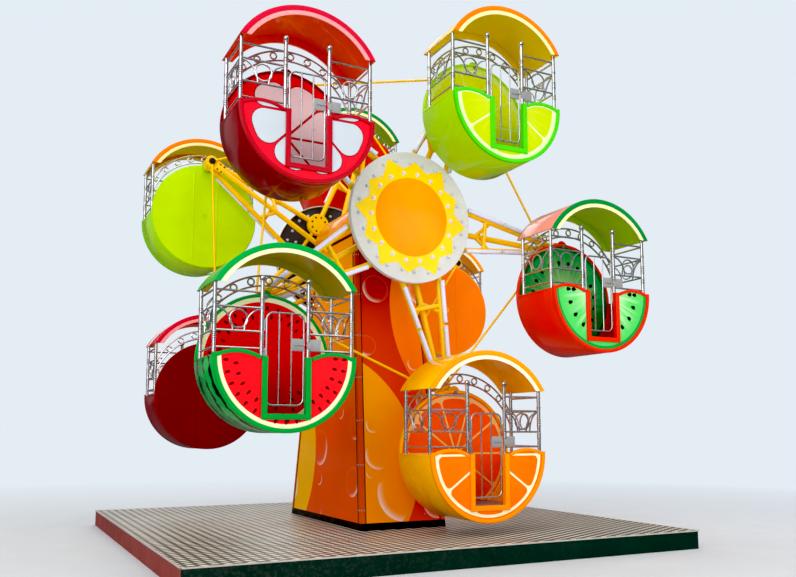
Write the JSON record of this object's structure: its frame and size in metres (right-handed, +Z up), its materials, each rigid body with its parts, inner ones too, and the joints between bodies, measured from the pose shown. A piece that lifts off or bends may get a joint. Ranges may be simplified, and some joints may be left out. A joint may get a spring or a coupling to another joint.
{
  "type": "ferris wheel",
  "caption": "Small double-sided fairground wheel: fruit-shaped cabins hang level from braced arms on both sides of a tapered tower, on a steel deck.",
  "frame": {"origin": "middle of the deck's underside, on the floor", "axes": "+Z up; Y along the wheel's axle with the front wheel on the -Y side; +X to the right when facing the front"},
  "size_m": [5.7, 5.5, 6.2099],
  "materials": {
    "channel_paint": "satin red-brown paint, worn at the edges",
    "tread_steel": "galvanised tread plate with raised bars",
    "tower_frame_paint": "gloss paint with bolted seams",
    "tower_print": "glossy printed sheet in an orange gradient",
    "hood_shell": "glossy moulded shell",
    "bearing_iron": "dark painted casting",
    "shaft_steel": "turned steel",
    "yellow_paint": "gloss yellow paint",
    "hub_cover_white": "gloss white paint",
    "kiwi_skin": "gloss red-orange shell",
    "green_citrus_skin": "gloss yellow-green shell",
    "red_citrus_skin": "gloss dark red shell",
    "melon_skin": "gloss green shell with dark stripes",
    "tangerine_skin": "gloss warm yellow-red shell",
    "kiwi_roof": "gloss green shell",
    "green_citrus_roof": "gloss amber shell",
    "red_citrus_roof": "gloss crimson shell",
    "melon_roof": "gloss green shell",
    "tangerine_roof": "gloss amber shell",
    "polished_steel": "polished stainless tube",
    "lamp_white": "opal white lamp cover",
    "black_plastic": "matt black"
  },
  "bodies": {
    "base": {"deck_frame": "channel_paint", "deck_plate": "tread_steel", "tower_frame": "tower_frame_paint", "tower_panel_front": "tower_print", "tower_panel_rear": "tower_print", "tower_panel_left": "tower_print", "tower_panel_right": "tower_print", "tower_hood": "hood_shell", "front_bearing": "bearing_iron", "rear_bearing": "bearing_iron"},
    "wheel": {"main_shaft": "shaft_steel", "front_wheel_frame": "yellow_paint", "front_tie_rods": "yellow_paint", "front_hub_plate": "hub_cover_white", "rear_wheel_frame": "yellow_paint", "rear_tie_rods": "yellow_paint", "rear_hub_plate": "hub_cover_white"},
    "front_cabin_1": {"front_cabin_1_tub": "kiwi_skin", "front_cabin_1_railing": "polished_steel", "front_cabin_1_canopy": "kiwi_roof"},
    "front_cabin_1_gate": {"front_cabin_1_gate": "polished_steel"},
    "front_cabin_2": {"front_cabin_2_tub": "green_citrus_skin", "front_cabin_2_railing": "polished_steel", "front_cabin_2_canopy": "green_citrus_roof"},
    "front_cabin_2_gate": {"front_cabin_2_gate": "polished_steel"},
    "front_cabin_3": {"front_cabin_3_tub": "red_citrus_skin", "front_cabin_3_railing": "polished_steel", "front_cabin_3_canopy": "red_citrus_roof"},
    "front_cabin_3_gate": {"front_cabin_3_gate": "polished_steel"},
    "front_cabin_4": {"front_cabin_4_tub": "melon_skin", "front_cabin_4_railing": "polished_steel", "front_cabin_4_canopy": "melon_roof"},
    "front_cabin_4_gate": {"front_cabin_4_gate": "polished_steel"},
    "front_cabin_5": {"front_cabin_5_tub": "tangerine_skin", "front_cabin_5_railing": "polished_steel", "front_cabin_5_canopy": "tangerine_roof"},
    "front_cabin_5_gate": {"front_cabin_5_gate": "polished_steel"},
    "rear_cabin_1": {"rear_cabin_1_tub": "tangerine_skin", "rear_cabin_1_railing": "polished_steel", "rear_cabin_1_canopy": "tangerine_roof"},
    "rear_cabin_1_gate": {"rear_cabin_1_gate": "polished_steel"},
    "rear_cabin_2": {"rear_cabin_2_tub": "kiwi_skin", "rear_cabin_2_railing": "polished_steel", "rear_cabin_2_canopy": "kiwi_roof"},
    "rear_cabin_2_gate": {"rear_cabin_2_gate": "polished_steel"},
    "rear_cabin_3": {"rear_cabin_3_tub": "green_citrus_skin", "rear_cabin_3_railing": "polished_steel", "rear_cabin_3_canopy": "green_citrus_roof"},
    "rear_cabin_3_gate": {"rear_cabin_3_gate": "polished_steel"},
    "rear_cabin_4": {"rear_cabin_4_tub": "red_citrus_skin", "rear_cabin_4_railing": "polished_steel", "rear_cabin_4_canopy": "red_citrus_roof"},
    "rear_cabin_4_gate": {"rear_cabin_4_gate": "polished_steel"},
    "rear_cabin_5": {"rear_cabin_5_tub": "melon_skin", "rear_cabin_5_railing": "polished_steel", "rear_cabin_5_canopy": "melon_roof"},
    "rear_cabin_5_gate": {"rear_cabin_5_gate": "polished_steel"}
  },
  "joints": [
    {"name": "wheel_turn", "type": "hinge", "parent": "base", "child": "wheel", "pos_m": [0, 0, 3.77], "axis": [0, 1, 0], "continuous": true},
    {"name": "front_cabin_1_level", "type": "hinge", "parent": "wheel", "child": "front_cabin_1", "pos_m": [2.0836, 0, 3.606], "axis": [0, 1, 0], "continuous": true},
    {"name": "front_cabin_1_gate_swing", "type": "hinge", "parent": "front_cabin_1", "child": "front_cabin_1_gate", "pos_m": [1.8766, -2.11, 2.906], "axis": [0, 0, 1], "range_deg": [0, 90]},
    {"name": "front_cabin_2_level", "type": "hinge", "parent": "wheel", "child": "front_cabin_2", "pos_m": [0.7998, 0, 5.7009], "axis": [0, 1, 0], "continuous": true},
    {"name": "front_cabin_2_gate_swing", "type": "hinge", "parent": "front_cabin_2", "child": "front_cabin_2_gate", "pos_m": [0.5928, -2.11, 5.0009], "axis": [0, 0, 1], "range_deg": [0, 90]},
    {"name": "front_cabin_3_level", "type": "hinge", "parent": "wheel", "child": "front_cabin_3", "pos_m": [-1.5892, 0, 5.1273], "axis": [0, 1, 0], "continuous": true},
    {"name": "front_cabin_3_gate_swing", "type": "hinge", "parent": "front_cabin_3", "child": "front_cabin_3_gate", "pos_m": [-1.7962, -2.11, 4.4273], "axis": [0, 0, 1], "range_deg": [0, 90]},
    {"name": "front_cabin_4_level", "type": "hinge", "parent": "wheel", "child": "front_cabin_4", "pos_m": [-1.782, 0, 2.678], "axis": [0, 1, 0], "continuous": true},
    {"name": "front_cabin_4_gate_swing", "type": "hinge", "parent": "front_cabin_4", "child": "front_cabin_4_gate", "pos_m": [-1.989, -2.11, 1.978], "axis": [0, 0, 1], "range_deg": [0, 90]},
    {"name": "front_cabin_5_level", "type": "hinge", "parent": "wheel", "child": "front_cabin_5", "pos_m": [0.4879, 0, 1.7377], "axis": [0, 1, 0], "continuous": true},
    {"name": "front_cabin_5_gate_swing", "type": "hinge", "parent": "front_cabin_5", "child": "front_cabin_5_gate", "pos_m": [0.2809, -2.11, 1.0377], "axis": [0, 0, 1], "range_deg": [0, 90]},
    {"name": "rear_cabin_1_level", "type": "hinge", "parent": "wheel", "child": "rear_cabin_1", "pos_m": [2.0875, 0, 3.8721], "axis": [0, 1, 0], "continuous": true},
    {"name": "rear_cabin_1_gate_swing", "type": "hinge", "parent": "rear_cabin_1", "child": "rear_cabin_1_gate", "pos_m": [2.2945, 2.11, 3.1721], "axis": [0, 0, 1], "range_deg": [0, 90]},
    {"name": "rear_cabin_2_level", "type": "hinge", "parent": "wheel", "child": "rear_cabin_2", "pos_m": [0.548, 0, 5.7869], "axis": [0, 1, 0], "continuous": true},
    {"name": "rear_cabin_2_gate_swing", "type": "hinge", "parent": "rear_cabin_2", "child": "rear_cabin_2_gate", "pos_m": [0.755, 2.11, 5.0869], "axis": [0, 0, 1], "range_deg": [0, 90]},
    {"name": "rear_cabin_3_level", "type": "hinge", "parent": "wheel", "child": "rear_cabin_3", "pos_m": [-1.7488, 0, 4.9144], "axis": [0, 1, 0], "continuous": true},
    {"name": "rear_cabin_3_gate_swing", "type": "hinge", "parent": "rear_cabin_3", "child": "rear_cabin_3_gate", "pos_m": [-1.5418, 2.11, 4.2144], "axis": [0, 0, 1], "range_deg": [0, 90]},
    {"name": "rear_cabin_4_level", "type": "hinge", "parent": "wheel", "child": "rear_cabin_4", "pos_m": [-1.6288, 0, 2.4604], "axis": [0, 1, 0], "continuous": true},
    {"name": "rear_cabin_4_gate_swing", "type": "hinge", "parent": "rear_cabin_4", "child": "rear_cabin_4_gate", "pos_m": [-1.4218, 2.11, 1.7604], "axis": [0, 0, 1], "range_deg": [0, 90]},
    {"name": "rear_cabin_5_level", "type": "hinge", "parent": "wheel", "child": "rear_cabin_5", "pos_m": [0.7422, 0, 1.8162], "axis": [0, 1, 0], "continuous": true},
    {"name": "rear_cabin_5_gate_swing", "type": "hinge", "parent": "rear_cabin_5", "child": "rear_cabin_5_gate", "pos_m": [0.9492, 2.11, 1.1162], "axis": [0, 0, 1], "range_deg": [0, 90]}
  ],
  "couplings": [
    {"joint": "front_cabin_1_level", "follows": "wheel_turn", "ratio": -1},
    {"joint": "front_cabin_2_level", "follows": "wheel_turn", "ratio": -1},
    {"joint": "front_cabin_3_level", "follows": "wheel_turn", "ratio": -1},
    {"joint": "front_cabin_4_level", "follows": "wheel_turn", "ratio": -1},
    {"joint": "front_cabin_5_level", "follows": "wheel_turn", "ratio": -1},
    {"joint": "rear_cabin_1_level", "follows": "wheel_turn", "ratio": -1},
    {"joint": "rear_cabin_2_level", "follows": "wheel_turn", "ratio": -1},
    {"joint": "rear_cabin_3_level", "follows": "wheel_turn", "ratio": -1},
    {"joint": "rear_cabin_4_level", "follows": "wheel_turn", "ratio": -1},
    {"joint": "rear_cabin_5_level", "follows": "wheel_turn", "ratio": -1}
  ]
}
